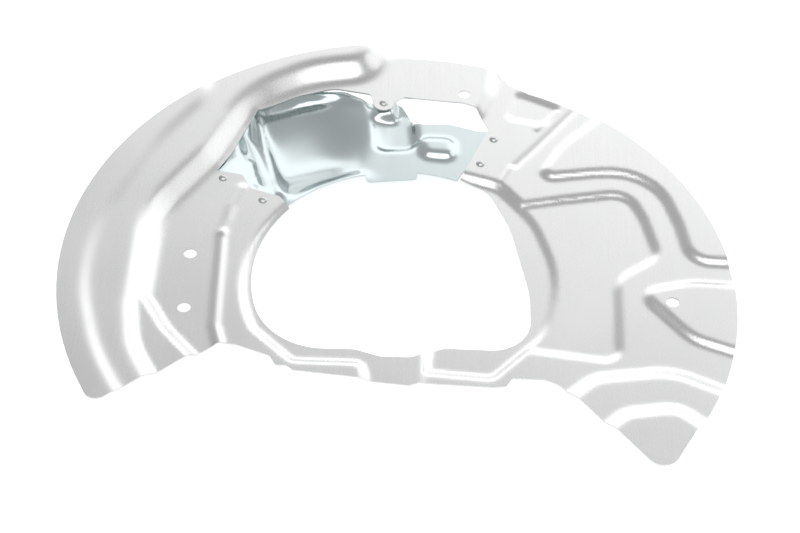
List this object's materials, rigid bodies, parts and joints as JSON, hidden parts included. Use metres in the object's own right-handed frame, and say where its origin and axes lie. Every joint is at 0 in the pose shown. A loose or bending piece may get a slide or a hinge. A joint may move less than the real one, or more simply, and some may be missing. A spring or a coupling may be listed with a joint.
{
  "type": "brake dust shield",
  "caption": "Pressed sheet-metal dust shield that stands behind a brake disc, with a hub opening, stepped wings and a drawn knuckle cover riveted under its arch.",
  "frame": {"origin": "wheel axis at the level of the flat sheet beside the left pair of fixing holes", "axes": "+Z along the wheel axis, out to the brake disc; +Y to the arch over the knuckle cover; +X to the wing with the single fixing hole"},
  "size_m": [0.3762, 0.3157, 0.0265],
  "materials": {
    "plate_sheet": "satin, bare",
    "cover_sheet": "bright drawn, bare",
    "rivet_metal": "satin"
  },
  "bodies": {
    "root": {"backing_plate": "plate_sheet", "knuckle_cover": "cover_sheet", "rivets": "rivet_metal"}
  },
  "joints": []
}
